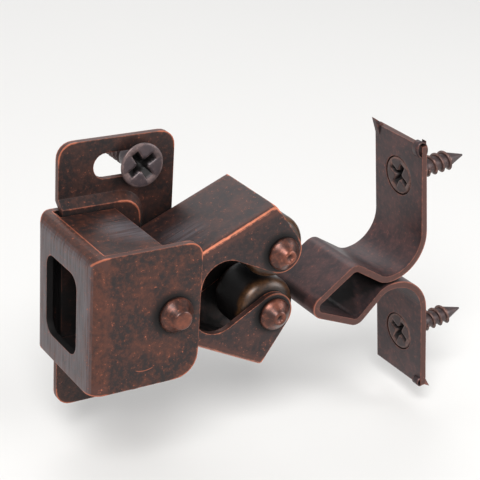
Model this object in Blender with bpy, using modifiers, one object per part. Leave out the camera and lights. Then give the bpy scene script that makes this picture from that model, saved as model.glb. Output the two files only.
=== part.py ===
"""Double ball catch: a sprung double-roller catch with its spear strike.

Metres, +Z up. The catch is screwed to a cabinet wall on the plane y = 0, and
its face is towards -Y. X runs from the catch to the door. The origin is on the
wall plane, at mid height, on the flat strip of the mounting plate beside its
pad. The strike stands on a door that is ajar.
"""
import math

import bmesh
import bpy
from mathutils import Matrix, Vector

# Sheet metal and clearances
SHEET = 0.0008
BEND_RADIUS = 0.0008
RUN_GAP = 0.0003
SEAT_GAP = 0.0001
BORE_GAP = 0.0002
AXIS_SIZE = 0.004

# Folded housing, measured from the pivot line
HOUSING_TAIL = 0.0101
HOUSING_NOSE = 0.00309
HOUSING_HALF_HEIGHT = 0.00819
HOUSING_DEPTH = 0.01465
BACK_HALF_HEIGHT = 0.0067
NOSE_TOP_RADIUS = 0.0017
NOSE_BOTTOM_RADIUS = 0.0028
FLAP_DROP = 0.00025
FLAP_END = -0.0013
WINDOW_WIDTH = 0.0077
WINDOW_HEIGHT = 0.0098
WINDOW_DROP = 0.0003
WINDOW_RADIUS = 0.0016
WINDOW_FRONT_LAND = 0.0039

# Mounting plate, measured from the pivot line
PLATE_LEFT = -0.00775
PLATE_RIGHT = 0.00685
PLATE_DROP = 0.00055
PLATE_HALF_HEIGHT = 0.0165
PLATE_CORNER = 0.0019
PAD_RIGHT = 0.0030
PAD_HALF_HEIGHT = 0.0100
PAD_CORNER = 0.0032
PAD_RISER = 0.0009
SLOT_X = 0.0
SLOT_Z = 0.0132
SLOT_LENGTH = 0.0069
SLOT_WIDTH = 0.0031
ORIGIN_FROM_PIVOT = 0.0043

# Rivets and rollers
PIVOT_RADIUS = 0.0013
TENON_RADIUS = 0.0006
RIVET_HEAD_RADIUS = 0.0021
RIVET_CROWN_RADIUS = 0.00115
PIVOT_HEAD_HEIGHT = 0.0018
PIN_RADIUS = 0.0010
PIN_HEAD_RADIUS = 0.0020
PIN_CROWN_RADIUS = 0.00085
PIN_HEAD_HEIGHT = 0.0015
PIN_DIMPLE = 0.0002
ROLLER_RADIUS = 0.0038
ROLLER_EDGE = 0.0014

# Arms, in a frame with X from the pivot to the roller pin and Z to the web
ARM_REACH = 0.0150
UPPER_ROLLER_LIFT = 0.00043
LOWER_ROLLER_LIFT = 0.00019
ARM_BEND = 0.0006
UPPER_WEB_AT_PIVOT = 0.00419
UPPER_WEB_SLOPE = math.radians(6.9)
LOWER_WEB_AT_PIVOT = 0.00377
LOWER_WEB_SLOPE = math.radians(10.6)
JAW_REACH = 0.0004
VALLEY_X = 0.0022
EAR_RADIUS = 0.0025
PIVOT_EAR_RADIUS = 0.0032
UPPER_NOTCH_Z = -0.0006
LOWER_NOTCH_Z = -0.0001
NOTCH_MARGIN = 0.00145
NOTCH_LAND = 0.0007
TAIL_GAP = 0.00039
TAIL_END = -0.0064
TAIL_KNEE = -0.0024
TAIL_DEPTH = 0.0035

# Spring between the tails
SPRING_X = -0.0043
SPRING_RADIUS = 0.0017
SPRING_WIRE = 0.00025
SPRING_TURNS = 8
NIB_RADIUS = 0.0008
NIB_HEIGHT = 0.0008

# Wood screws
PLATE_SCREW_X = 0.0020
PLATE_SCREW_HEAD = 0.00265
STRIKE_SCREW_HEAD = 0.0023
SHANK_RADIUS = 0.0013
SCREW_LENGTH = 0.0098
HEAD_RIM = 0.00025
RECESS_SPAN = 0.0034
RECESS_WIDTH = 0.0009
RECESS_DEPTH = 0.0010

# Strike strip, in a frame with its origin at the neck and X towards the door
STRIKE_WIDTH = 0.0093
STRIKE_MIDDLE_Y = -0.0089
WING_FACE = 0.0044
WING_HALF_LENGTH = 0.0167
WING_SCREW_INSET = 0.00565
WING_SCREW_LIFT = 0.0003
NECK_GAP = 0.00035
NECK_X = -0.0011
NECK_BEND = 0.0028
SHOULDER_X = -0.0053
SHOULDER_Z = 0.00382
SPEAR_BEND = 0.0011
TIP_X = -0.0123
SPUR_LENGTH = 0.0007
SPUR_WIDTH = 0.0016
SPUR_FLARE = 0.0007
HORN_RISE = 0.0011
HORN_LEAN = 0.0006

# Door that carries the strike, ajar as in the photograph
DOOR_AJAR = math.radians(7.54)
NECK_BEYOND_PINS = 0.0015
DOOR_HINGE_OUT = 0.0276
DOOR_HINGE_Z = 0.1072

# Facets
ROUND_STEPS = 40
FILLET_STEPS = 6
STRIP_STEPS = 18

# Planes across the depth, worked out from the sizes above
FRONT_FACE = -HOUSING_DEPTH
FRONT_INNER = FRONT_FACE + SHEET
PAD_FACE = -2 * SHEET - RUN_GAP
UPPER_ARM_FRONT = FRONT_INNER + RUN_GAP
UPPER_ARM_BACK = PAD_FACE - RUN_GAP
LOWER_ARM_FRONT = UPPER_ARM_FRONT + SHEET + RUN_GAP
LOWER_ARM_BACK = UPPER_ARM_BACK - SHEET - RUN_GAP
FLAP_FACE = HOUSING_HALF_HEIGHT - FLAP_DROP
FLAP_INNER = FLAP_FACE - SHEET
ARM_MIDDLE_Y = (UPPER_ARM_FRONT + UPPER_ARM_BACK) / 2
FAR = 0.03

# Sizes that follow from the ones above
PAD_RISE = SHEET + RUN_GAP
RISER_ANGLE = math.atan2(PAD_RISE, PAD_RISER)
POCKET_STEP = SHEET / math.sin(RISER_ANGLE) - SHEET / math.tan(RISER_ANGLE)
UPPER_REST = math.asin((ROLLER_RADIUS + UPPER_ROLLER_LIFT) / ARM_REACH)
LOWER_REST = math.asin((ROLLER_RADIUS + LOWER_ROLLER_LIFT) / ARM_REACH)
WEB_END = ARM_REACH + JAW_REACH
NOTCH_RADIUS = (ARM_REACH - EAR_RADIUS - PIVOT_EAR_RADIUS) / 2 - NOTCH_MARGIN
NOTCH_X = PIVOT_EAR_RADIUS + NOTCH_RADIUS + NOTCH_LAND
TAIL_LEVEL = FLAP_INNER - TAIL_GAP
WING_SCREW_Z = WING_HALF_LENGTH - WING_SCREW_INSET
LATCHED_NECK_X = ARM_REACH + NECK_BEYOND_PINS
DOOR_HINGE_X = LATCHED_NECK_X + DOOR_HINGE_OUT

for stale in list(bpy.data.objects):
    bpy.data.objects.remove(stale)

PARTS = bpy.data.collections.new("double_ball_catch")
CUTTERS = bpy.data.collections.new("cutters")
bpy.context.scene.collection.children.link(PARTS)
bpy.context.scene.collection.children.link(CUTTERS)


# Materials

def metal(name, colour, roughness):
    """A plated steel finish with one colour."""
    material = bpy.data.materials.new(name)
    material.use_nodes = True
    shader = material.node_tree.nodes["Principled BSDF"]
    shader.inputs["Base Color"].default_value = (*colour, 1.0)
    shader.inputs["Metallic"].default_value = 0.9
    shader.inputs["Roughness"].default_value = roughness
    return material


# Objects and modifiers

def empty(name, location, parent=None, turn_y=0.0):
    """An axis or a frame that pieces hang from."""
    frame = bpy.data.objects.new(name, None)
    frame.empty_display_size = AXIS_SIZE
    PARTS.objects.link(frame)
    frame.parent = parent
    frame.location = location
    frame.rotation_euler = (0.0, turn_y, 0.0)
    return frame


def add_part(name, mesh, parent, material):
    """Puts a finished mesh on its parent frame as a named piece."""
    part = bpy.data.objects.new(name, mesh)
    PARTS.objects.link(part)
    part.parent = parent
    mesh.materials.clear()
    mesh.materials.append(material)
    return part


def add_cutter(name, mesh, parent):
    """A guide that cuts or joins, and is not part of the object."""
    cutter = bpy.data.objects.new(name, mesh)
    CUTTERS.objects.link(cutter)
    cutter.parent = parent
    cutter.hide_render = True
    cutter.display_type = "WIRE"
    return cutter


def boolean(part, cutter, operation="DIFFERENCE"):
    """Adds a live Boolean to a part."""
    modifier = part.modifiers.new(cutter.name, "BOOLEAN")
    modifier.operation = operation
    modifier.solver = "EXACT"
    modifier.object = cutter


def shade(mesh, degrees=30.0):
    """Smooth shading with sharp folds."""
    mesh.shade_smooth()
    mesh.set_sharp_from_angle(angle=math.radians(degrees))


# Outlines, as lists of (u, v) points

def arc(centre, radius, start, end, steps=ROUND_STEPS):
    """Points on a circle from one angle to another, in degrees."""
    count = max(2, round(steps * abs(end - start) / 360.0))
    points = []
    for i in range(count + 1):
        angle = math.radians(start + (end - start) * i / count)
        points.append((centre[0] + radius * math.cos(angle), centre[1] + radius * math.sin(angle)))
    return points


def filleted(corners, closed=True, steps=FILLET_STEPS):
    """Rounds each (u, v, radius) corner with an arc."""
    points = []
    count = len(corners)
    for i, (u, v, radius) in enumerate(corners):
        here = Vector((u, v))
        at_end = not closed and i in (0, count - 1)
        if radius == 0.0 or at_end:
            points.append((u, v))
            continue
        before = Vector(corners[i - 1][:2])
        after = Vector(corners[(i + 1) % count][:2])
        to_before = (before - here).normalized()
        to_after = (after - here).normalized()
        half = to_before.angle(to_after) / 2
        inward = (to_before + to_after).normalized()
        centre = here + inward * radius / math.sin(half)
        start = here + to_before * radius / math.tan(half) - centre
        turn = start.angle_signed(here + to_after * radius / math.tan(half) - centre)
        for step in range(steps + 1):
            spoke = start.copy()
            spoke.rotate(Matrix.Rotation(-turn * step / steps, 2))
            points.append(tuple(centre + spoke))
    return points


def rectangle(u0, u1, v0, v1, radii=(0.0, 0.0, 0.0, 0.0)):
    """A rectangle with a radius for each corner, from low-low, counter-clockwise."""
    corners = [(u0, v0, radii[0]), (u1, v0, radii[1]), (u1, v1, radii[2]), (u0, v1, radii[3])]
    return filleted(corners)


def tangent_angle(centre, radius, point, side):
    """Angle in degrees of the tangent from a point to a circle."""
    offset = Vector(point) - Vector(centre)
    heading = math.degrees(math.atan2(offset.y, offset.x))
    return heading + side * math.degrees(math.acos(radius / offset.length))


def offset_path(path, distance):
    """The path moved sideways, with mitred corners."""
    points = [Vector(p) for p in path]
    moved = []
    for i, here in enumerate(points):
        normals = []
        if i > 0:
            run = (here - points[i - 1]).normalized()
            normals.append(Vector((run.y, -run.x)))
        if i < len(points) - 1:
            run = (points[i + 1] - here).normalized()
            normals.append(Vector((run.y, -run.x)))
        middle = sum(normals, Vector((0.0, 0.0))).normalized()
        moved.append(tuple(here + middle * distance / middle.dot(normals[0])))
    return moved


# Solids

def outline_solid(outline, near, far, axis="Y"):
    """A flat outline as a filled 2D curve, given its thickness and made a mesh.

    The outline's (u, v) become (x, z) along Y, or (y, z) along X.
    """
    curve = bpy.data.curves.new("outline", "CURVE")
    curve.dimensions = "2D"
    curve.fill_mode = "BOTH"
    curve.extrude = (far - near) / 2
    spline = curve.splines.new("POLY")
    spline.points.add(len(outline) - 1)
    for point, (u, v) in zip(spline.points, outline):
        point.co = (u, v, 0.0, 1.0)
    spline.use_cyclic_u = True
    holder = bpy.data.objects.new("outline", curve)
    CUTTERS.objects.link(holder)
    depsgraph = bpy.context.evaluated_depsgraph_get()
    mesh = bpy.data.meshes.new_from_object(holder.evaluated_get(depsgraph))
    bpy.data.objects.remove(holder)
    bpy.data.curves.remove(curve)
    centre = (near + far) / 2
    if axis == "Y":
        place = Matrix.Translation((0.0, centre, 0.0)) @ Matrix.Rotation(math.pi / 2, 4, "X")
    else:
        cycle = Matrix(((0, 0, 1, 0), (1, 0, 0, 0), (0, 1, 0, 0), (0, 0, 0, 1)))
        place = Matrix.Translation((centre, 0.0, 0.0)) @ cycle
    solid = bmesh.new()
    solid.from_mesh(mesh)
    bmesh.ops.remove_doubles(solid, verts=solid.verts, dist=1e-7)
    bmesh.ops.dissolve_limit(
        solid, angle_limit=math.radians(0.5), verts=solid.verts, edges=solid.edges)
    bmesh.ops.transform(solid, matrix=place, verts=solid.verts)
    bmesh.ops.recalc_face_normals(solid, faces=solid.faces)
    solid.to_mesh(mesh)
    solid.free()
    return mesh


def round_edges(mesh, chosen, radius, segments):
    """Bevels the edges that a test on their two ends picks."""
    solid = bmesh.new()
    solid.from_mesh(mesh)
    edges = [e for e in solid.edges if chosen(e.verts[0].co, e.verts[1].co)]
    bmesh.ops.bevel(
        solid, geom=edges, offset=radius, offset_type="OFFSET", segments=segments,
        profile=0.5, affect="EDGES", clamp_overlap=False, material=-1)
    bmesh.ops.remove_doubles(solid, verts=solid.verts, dist=1e-7)
    solid.to_mesh(mesh)
    solid.free()


def box(low, high):
    """A cube given its two corners."""
    solid = bmesh.new()
    bmesh.ops.create_cube(solid, size=1.0)
    size = Vector(high) - Vector(low)
    middle = (Vector(high) + Vector(low)) / 2
    bmesh.ops.scale(solid, vec=size, verts=solid.verts)
    bmesh.ops.translate(solid, vec=middle, verts=solid.verts)
    mesh = bpy.data.meshes.new("box")
    solid.to_mesh(mesh)
    solid.free()
    return mesh


def rod(radius, start, end, tip_radius=None, collar=0.0):
    """A cylinder or cone between two points, with a straight collar behind its start."""
    run = Vector(end) - Vector(start)
    solid = bmesh.new()
    bmesh.ops.create_cone(
        solid, cap_ends=True, segments=ROUND_STEPS, radius1=radius,
        radius2=radius if tip_radius is None else tip_radius, depth=run.length)
    if collar > 0.0:
        cap = min(solid.faces, key=lambda face: face.calc_center_median().z)
        grown = bmesh.ops.extrude_face_region(solid, geom=[cap])["geom"]
        ring = [g for g in grown if isinstance(g, bmesh.types.BMVert)]
        bmesh.ops.translate(solid, vec=(0.0, 0.0, -collar), verts=ring)
        bmesh.ops.delete(solid, geom=[cap], context="FACES_ONLY")
    place = Matrix.Translation(Vector(start) + run / 2)
    turn = run.to_track_quat("Z", "Y").to_matrix().to_4x4()
    bmesh.ops.transform(solid, matrix=place @ turn, verts=solid.verts)
    mesh = bpy.data.meshes.new("rod")
    solid.to_mesh(mesh)
    solid.free()
    return mesh


def turned(name, profile, parent, location, material, rotation, steps=ROUND_STEPS, ring=False):
    """A turned piece: a profile of (radius, height) points, spun by a Screw modifier."""
    mesh = bpy.data.meshes.new(name)
    solid = bmesh.new()
    verts = [solid.verts.new((radius, 0.0, height)) for radius, height in profile]
    pairs = list(zip(verts, verts[1:]))
    if ring:
        pairs.append((verts[-1], verts[0]))
    for pair in pairs:
        solid.edges.new(pair)
    solid.to_mesh(mesh)
    solid.free()
    part = add_part(name, mesh, parent, material)
    part.location = location
    part.rotation_euler = rotation
    spin = part.modifiers.new("spin", "SCREW")
    spin.steps = steps
    spin.render_steps = steps
    spin.use_merge_vertices = True
    spin.merge_threshold = 0.00001
    spin.use_smooth_shade = True
    return part


FACING_FRONT = (math.pi / 2, 0.0, 0.0)
FACING_CATCH = (0.0, -math.pi / 2, 0.0)


# Folded housing: end face with a window, front plate, back plate and two flaps

def shell_block(low, high, radius):
    """A block with its tail face bent at the top, the front and the back."""
    mesh = box(low, high)
    middle = (low[2] + high[2]) / 2

    def bent(a, b):
        at_tail = max(a.x, b.x) - low[0] < 1e-7
        return at_tail and max(a.z, b.z) > middle

    round_edges(mesh, bent, radius, 7)
    return mesh


def build_housing(frame, material):
    """One sheet folded on five sides, with slits beside the flaps."""
    top = HOUSING_HALF_HEIGHT
    outer_bend = BEND_RADIUS + SHEET
    flat_start = -HOUSING_TAIL + outer_bend + SEAT_GAP
    mesh = shell_block((-HOUSING_TAIL, FRONT_FACE, -top), (HOUSING_NOSE, 0.0, top), outer_bend)
    housing = add_part("housing", mesh, frame, material)
    hollow = shell_block(
        (-HOUSING_TAIL + SHEET, FRONT_INNER, -FLAP_INNER), (FAR, -SHEET, FLAP_INNER), BEND_RADIUS)
    boolean(housing, add_cutter("housing_hollow", hollow, frame))

    nose = rectangle(
        -FAR, HOUSING_NOSE, -top, top, (0.0, NOSE_BOTTOM_RADIUS, NOSE_TOP_RADIUS, 0.0))
    boolean(housing, add_cutter("nose_corners", outline_solid(nose, -FAR, FAR), frame), "INTERSECT")

    back_end = PAD_RIGHT - POCKET_STEP - PAD_RISER - SEAT_GAP
    flap_back = PAD_FACE - RUN_GAP
    pad_pass = PLATE_LEFT - RUN_GAP
    middle = (FRONT_INNER + RUN_GAP, flap_back)
    cuts = {
        "flap_ends": ((FLAP_END, FRONT_INNER, -FAR), (FAR, -SHEET, FAR)),
        "back_end": ((back_end, -SHEET - SEAT_GAP, -FAR), (FAR, FAR, FAR)),
        "front_slit": ((flat_start, FRONT_INNER, -FAR), (FAR, middle[0], FAR)),
        "back_slit": ((pad_pass, flap_back, -FAR), (FAR, -SHEET, FAR)),
        "top_step": ((flat_start, FRONT_INNER, FLAP_FACE), (FAR, -SHEET, FAR)),
        "bottom_step": ((flat_start, FRONT_INNER, -FAR), (FAR, -SHEET, -FLAP_FACE)),
        "back_top": ((pad_pass + SHEET, -SHEET - SEAT_GAP, BACK_HALF_HEIGHT), (FAR, FAR, FAR)),
        "back_bottom": ((pad_pass + SHEET, -SHEET - SEAT_GAP, -FAR), (FAR, FAR, -BACK_HALF_HEIGHT)),
    }
    for name, (low, high) in cuts.items():
        boolean(housing, add_cutter(name, box(low, high), frame))

    window_front = FRONT_FACE + WINDOW_FRONT_LAND
    sill = -WINDOW_DROP - WINDOW_HEIGHT / 2
    window = rectangle(
        window_front, window_front + WINDOW_WIDTH, sill, sill + WINDOW_HEIGHT, (WINDOW_RADIUS,) * 4)
    hole = outline_solid(window, -HOUSING_TAIL - SHEET, -HOUSING_TAIL + 2 * SHEET, "X")
    boolean(housing, add_cutter("window", hole, frame))
    pivot = rod(PIVOT_RADIUS + BORE_GAP, (0, FRONT_FACE - SHEET, 0), (0, FRONT_INNER + RUN_GAP, 0))
    boolean(housing, add_cutter("front_pivot_hole", pivot, frame))
    tenon = rod(TENON_RADIUS + BORE_GAP, (0, -2 * SHEET, 0), (0, SHEET, 0))
    boolean(housing, add_cutter("back_tenon_hole", tenon, frame))
    shade(mesh)
    return housing


# Mounting plate: slotted ears and a raised pad that laps over the housing's back

def raised_block(outline, base, foot, rise, run):
    """A block whose top is drawn in by a sloping riser, towards -Y."""
    mesh = outline_solid(outline, foot, base)
    solid = bmesh.new()
    solid.from_mesh(mesh)
    front = [f for f in solid.faces if f.normal.y < -0.9]
    bmesh.ops.inset_region(
        solid, faces=front, thickness=run, depth=rise, use_even_offset=True, use_boundary=True)
    solid.to_mesh(mesh)
    solid.free()
    return mesh


def build_mounting_plate(frame, material):
    """A flat plate with a pad pressed forward, open at its left edge."""
    foot = -PLATE_DROP - PLATE_HALF_HEIGHT
    head = -PLATE_DROP + PLATE_HALF_HEIGHT
    plate_outline = rectangle(PLATE_LEFT, PLATE_RIGHT, foot, head, (PLATE_CORNER,) * 4)
    mesh = outline_solid(plate_outline, -SHEET, 0.0)
    plate = add_part("mounting_plate", mesh, frame, material)

    past_left = PLATE_LEFT - 2 * PAD_RISE
    low = -PLATE_DROP - PAD_HALF_HEIGHT
    high = -PLATE_DROP + PAD_HALF_HEIGHT
    corners = (0.0, PAD_CORNER, PAD_CORNER, 0.0)
    pad = rectangle(past_left, PAD_RIGHT, low, high, corners)
    bump = raised_block(pad, -SHEET / 2, -SHEET, PAD_RISE, PAD_RISER)
    boolean(plate, add_cutter("pad_bump", bump, frame), "UNION")

    inner = tuple(max(c - POCKET_STEP, 0.0) for c in corners)
    pocket_outline = rectangle(
        past_left - PAD_RISE, PAD_RIGHT - POCKET_STEP, low + POCKET_STEP, high - POCKET_STEP, inner)
    pocket = raised_block(pocket_outline, SHEET, 0.0, PAD_RISE, PAD_RISER)
    boolean(plate, add_cutter("pad_pocket", pocket, frame))
    trim = box((-FAR, -FAR, -FAR), (PLATE_LEFT, FAR, FAR))
    boolean(plate, add_cutter("pad_left_edge", trim, frame))

    for side, label in ((1, "upper"), (-1, "lower")):
        centre = side * SLOT_Z - PLATE_DROP
        slot = rectangle(
            SLOT_X - SLOT_LENGTH / 2, SLOT_X + SLOT_LENGTH / 2, centre - SLOT_WIDTH / 2,
            centre + SLOT_WIDTH / 2, (SLOT_WIDTH / 2 - 1e-6,) * 4)
        boolean(plate, add_cutter(label + "_slot", outline_solid(slot, -FAR, FAR), frame))
    tenon = rod(TENON_RADIUS + BORE_GAP, (0, -FAR, 0), (0, FAR, 0))
    boolean(plate, add_cutter("pad_tenon_hole", tenon, frame))
    shade(mesh)
    return plate


# Arms: pressed channels with a web outside and a pair of ears round the roller pin

def web_path(rest_angle, at_pivot, lean):
    """The outer line of the web, from the tail end to the jaw end."""
    def from_housing(x, z):
        cos, sin = math.cos(rest_angle), math.sin(rest_angle)
        return (x * cos + z * sin, -x * sin + z * cos)

    slope = math.tan(lean)
    return [
        from_housing(TAIL_END, TAIL_LEVEL),
        from_housing(TAIL_KNEE, TAIL_LEVEL),
        (VALLEY_X, at_pivot + slope * VALLEY_X),
        (WEB_END, at_pivot + slope * WEB_END),
    ]


def flange_outline(path, rest_angle, notch_z):
    """The side of an arm: web line, jaw ear, notch, pivot ear and tail."""
    pin = (ARM_REACH, 0.0)
    notch = (NOTCH_X, notch_z)
    ear_start = tangent_angle(pin, EAR_RADIUS, path[-1], -1)
    span = Vector(notch) - Vector(pin)
    lean = math.degrees(math.atan2(span.y, span.x)) % 360.0
    inner = math.degrees(math.acos((EAR_RADIUS + NOTCH_RADIUS) / span.length))
    ear_end = lean + inner - 360.0
    outline = list(path)
    outline += arc(pin, EAR_RADIUS, ear_start, ear_end)
    notch_edge = arc(notch, NOTCH_RADIUS, lean + inner - 180.0, 160.0)
    outline += notch_edge
    tail_foot = Vector(path[0]) + Vector((-math.sin(rest_angle), -math.cos(rest_angle))) * TAIL_DEPTH
    jaw_side = tangent_angle((0.0, 0.0), PIVOT_EAR_RADIUS, notch_edge[-1], -1)
    tail_side = tangent_angle((0.0, 0.0), PIVOT_EAR_RADIUS, tail_foot, 1) - 360.0
    outline += arc((0.0, 0.0), PIVOT_EAR_RADIUS, jaw_side, tail_side)
    outline.append(tuple(tail_foot))
    return outline


def along_path(path, side):
    """A test for edges that lie on a path, at either end of the depth."""
    spots = [Vector((u, v * side)) for u, v in path]

    def on_path(co):
        return any((Vector((co.x, co.z)) - spot).length < 1e-6 for spot in spots)

    return lambda a, b: on_path(a) and on_path(b) and abs(a.y - b.y) < 1e-7


def build_arm(name, frame, front, back, path, rest_angle, notch_z, side, material):
    """One channel; side is 1 with its web above and -1 with its web below."""
    outline = [(u, v * side) for u, v in flange_outline(path, rest_angle, notch_z)]
    mesh = outline_solid(outline, front, back)
    round_edges(mesh, along_path(path, side), ARM_BEND, 4)
    arm = add_part(name, mesh, frame, material)

    inner = offset_path(path, SHEET)
    tail_run = (Vector(inner[0]) - Vector(inner[1])).normalized() * SHEET * 4
    jaw_run = (Vector(inner[-1]) - Vector(inner[-2])).normalized() * SHEET * 8
    inner[0] = tuple(Vector(inner[0]) + tail_run)
    inner[-1] = tuple(Vector(inner[-1]) + jaw_run)
    below = [(inner[-1][0], -FAR), (inner[0][0], -FAR)]
    hollow_outline = [(u, v * side) for u, v in inner + below]
    hollow = outline_solid(hollow_outline, front + SHEET, back - SHEET)
    boolean(arm, add_cutter(name + "_hollow", hollow, frame))

    pivot = rod(PIVOT_RADIUS + BORE_GAP, (0, -FAR, 0), (0, FAR, 0))
    boolean(arm, add_cutter(name + "_pivot_hole", pivot, frame))
    pin = rod(PIN_RADIUS + BORE_GAP, (ARM_REACH, -FAR, 0), (ARM_REACH, FAR, 0))
    boolean(arm, add_cutter(name + "_pin_hole", pin, frame))

    turn = Matrix.Rotation(rest_angle, 2)
    seat = Vector((SPRING_X, TAIL_LEVEL - SHEET / 2))
    foot = turn.transposed() @ seat
    tip = turn.transposed() @ (seat - Vector((0.0, SHEET / 2 + NIB_HEIGHT)))
    nib = rod(
        NIB_RADIUS, (foot[0], ARM_MIDDLE_Y, foot[1] * side), (tip[0], ARM_MIDDLE_Y, tip[1] * side),
        NIB_RADIUS * 0.7)
    boolean(arm, add_cutter(name + "_spring_nib", nib, frame), "UNION")
    shade(mesh)
    return arm


# Rivets and rollers, turned about Y

def pin_profile(front, back, shaft, head, crown, height, dimple):
    """A rivet with a domed head at each end, from its front top down."""
    def head_points(base, sign):
        return [
            (0.0, base + sign * (height - dimple)),
            (crown * 0.55, base + sign * height),
            (crown, base + sign * height * 0.96),
            ((crown + head) / 2, base + sign * height * 0.66),
            (head * 0.97, base + sign * height * 0.30),
            (head, base + sign * height * 0.12),
            (head, base),
            (shaft, base),
        ]

    top = -front + SEAT_GAP
    bottom = -back - SEAT_GAP
    return head_points(top, 1) + head_points(bottom, -1)[::-1]


def build_pivot_rivet(frame, material):
    """Holds the front plate, both arms, the pad and the back plate together."""
    top = -FRONT_FACE + SEAT_GAP
    head = RIVET_HEAD_RADIUS
    crown = RIVET_CROWN_RADIUS
    height = PIVOT_HEAD_HEIGHT
    shoulder = -PAD_FACE + SEAT_GAP
    profile = [
        (0.0, top + height),
        (crown * 0.85, top + height * 0.99),
        (crown, top + height * 0.93),
        ((crown + head) / 2, top + height * 0.55),
        (head * 0.97, top + height * 0.25),
        (head, top + height * 0.1),
        (head, top),
        (PIVOT_RADIUS, top),
        (PIVOT_RADIUS, shoulder),
        (TENON_RADIUS, shoulder),
        (TENON_RADIUS, SEAT_GAP / 2),
        (0.0, SEAT_GAP / 2),
    ]
    return turned("pivot_rivet", profile, frame, (0, 0, 0), material, FACING_FRONT)


def build_roller(name, frame, front, back, material):
    """A hardened tube that turns freely on its pin."""
    top = -(front + SHEET + RUN_GAP)
    bottom = -(back - SHEET - RUN_GAP)
    bore = PIN_RADIUS + BORE_GAP
    edge = ROLLER_EDGE
    outer = filleted([
        (bore, top, 0.0), (ROLLER_RADIUS, top, edge), (ROLLER_RADIUS, bottom, edge),
        (bore, bottom, 0.0)])
    return turned(name, outer, frame, (0, 0, 0), material, FACING_FRONT, ring=True)


# Spring between the two tails

def build_spring(frame, material):
    """A compression spring with closed ends, its axis upright."""
    reach = TAIL_LEVEL - SHEET - RUN_GAP - SPRING_WIRE - SEAT_GAP
    per_turn = 14
    total = SPRING_TURNS * per_turn
    closed = per_turn
    pitch_end = 2.4 * SPRING_WIRE
    points = []
    for i in range(total + 1):
        from_end = min(i, total - i) / closed
        rise = min(from_end, 1.0) * pitch_end
        if from_end > 1.0:
            inside = (reach - pitch_end) * (from_end - 1.0) / (total / 2 / closed - 1.0)
            rise = pitch_end + inside
        height = -reach + rise if i <= total / 2 else reach - rise
        angle = 2 * math.pi * i / per_turn
        points.append((
            SPRING_X + SPRING_RADIUS * math.cos(angle) - SPRING_WIRE * math.cos(angle),
            ARM_MIDDLE_Y + (SPRING_RADIUS - SPRING_WIRE) * math.sin(angle),
            height))
    curve = bpy.data.curves.new("spring", "CURVE")
    curve.dimensions = "3D"
    curve.bevel_depth = SPRING_WIRE
    curve.bevel_resolution = 2
    curve.use_fill_caps = True
    spline = curve.splines.new("POLY")
    spline.points.add(len(points) - 1)
    for point, place in zip(spline.points, points):
        point.co = (*place, 1.0)
    spring = bpy.data.objects.new("spring", curve)
    PARTS.objects.link(spring)
    spring.parent = frame
    curve.materials.append(material)
    return spring


# Wood screws

def build_screw(name, frame, location, head, rotation, turn, material):
    """A flat head, a cone under it, a shank and a point, with a cross recess."""
    cone_end = -HEAD_RIM - (head - SHANK_RADIUS)
    profile = [
        (0.0, 0.0), (head * 0.93, 0.0), (head, -HEAD_RIM * 0.4), (head, -HEAD_RIM),
        (SHANK_RADIUS, cone_end), (SHANK_RADIUS, -SCREW_LENGTH + 2.5 * SHANK_RADIUS),
        (SHANK_RADIUS * 0.12, -SCREW_LENGTH), (0.0, -SCREW_LENGTH)]
    screw = turned(name, profile, frame, location, material, rotation)
    for i in range(2):
        blade = box(
            (-RECESS_SPAN / 2, -RECESS_WIDTH / 2, -RECESS_DEPTH),
            (RECESS_SPAN / 2, RECESS_WIDTH / 2, RECESS_DEPTH))
        for vert in blade.vertices:
            if vert.co.z < 0:
                vert.co.x *= 0.45
        cutter = add_cutter(name + "_recess_" + str(i), blade, screw)
        cutter.rotation_euler = (0.0, 0.0, turn + i * math.pi / 2)
        boolean(screw, cutter)
    return screw


# Strike: one strip folded to a hollow spear, with a wing each way

def strike_path():
    """The middle of the strip, from the upper wing end round to the lower."""
    wing = WING_FACE + SHEET / 2
    strand = (SHEET + NECK_GAP) / 2
    half = [
        (wing, WING_HALF_LENGTH, 0.0),
        (wing, strand, wing),
        (NECK_X, strand, NECK_BEND),
        (SHOULDER_X, SHOULDER_Z, SPEAR_BEND),
    ]
    mirrored = [(u, -v, radius) for u, v, radius in reversed(half)]
    return filleted(half + [(TIP_X, 0.0, SPEAR_BEND)] + mirrored, closed=False, steps=STRIP_STEPS)


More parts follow.
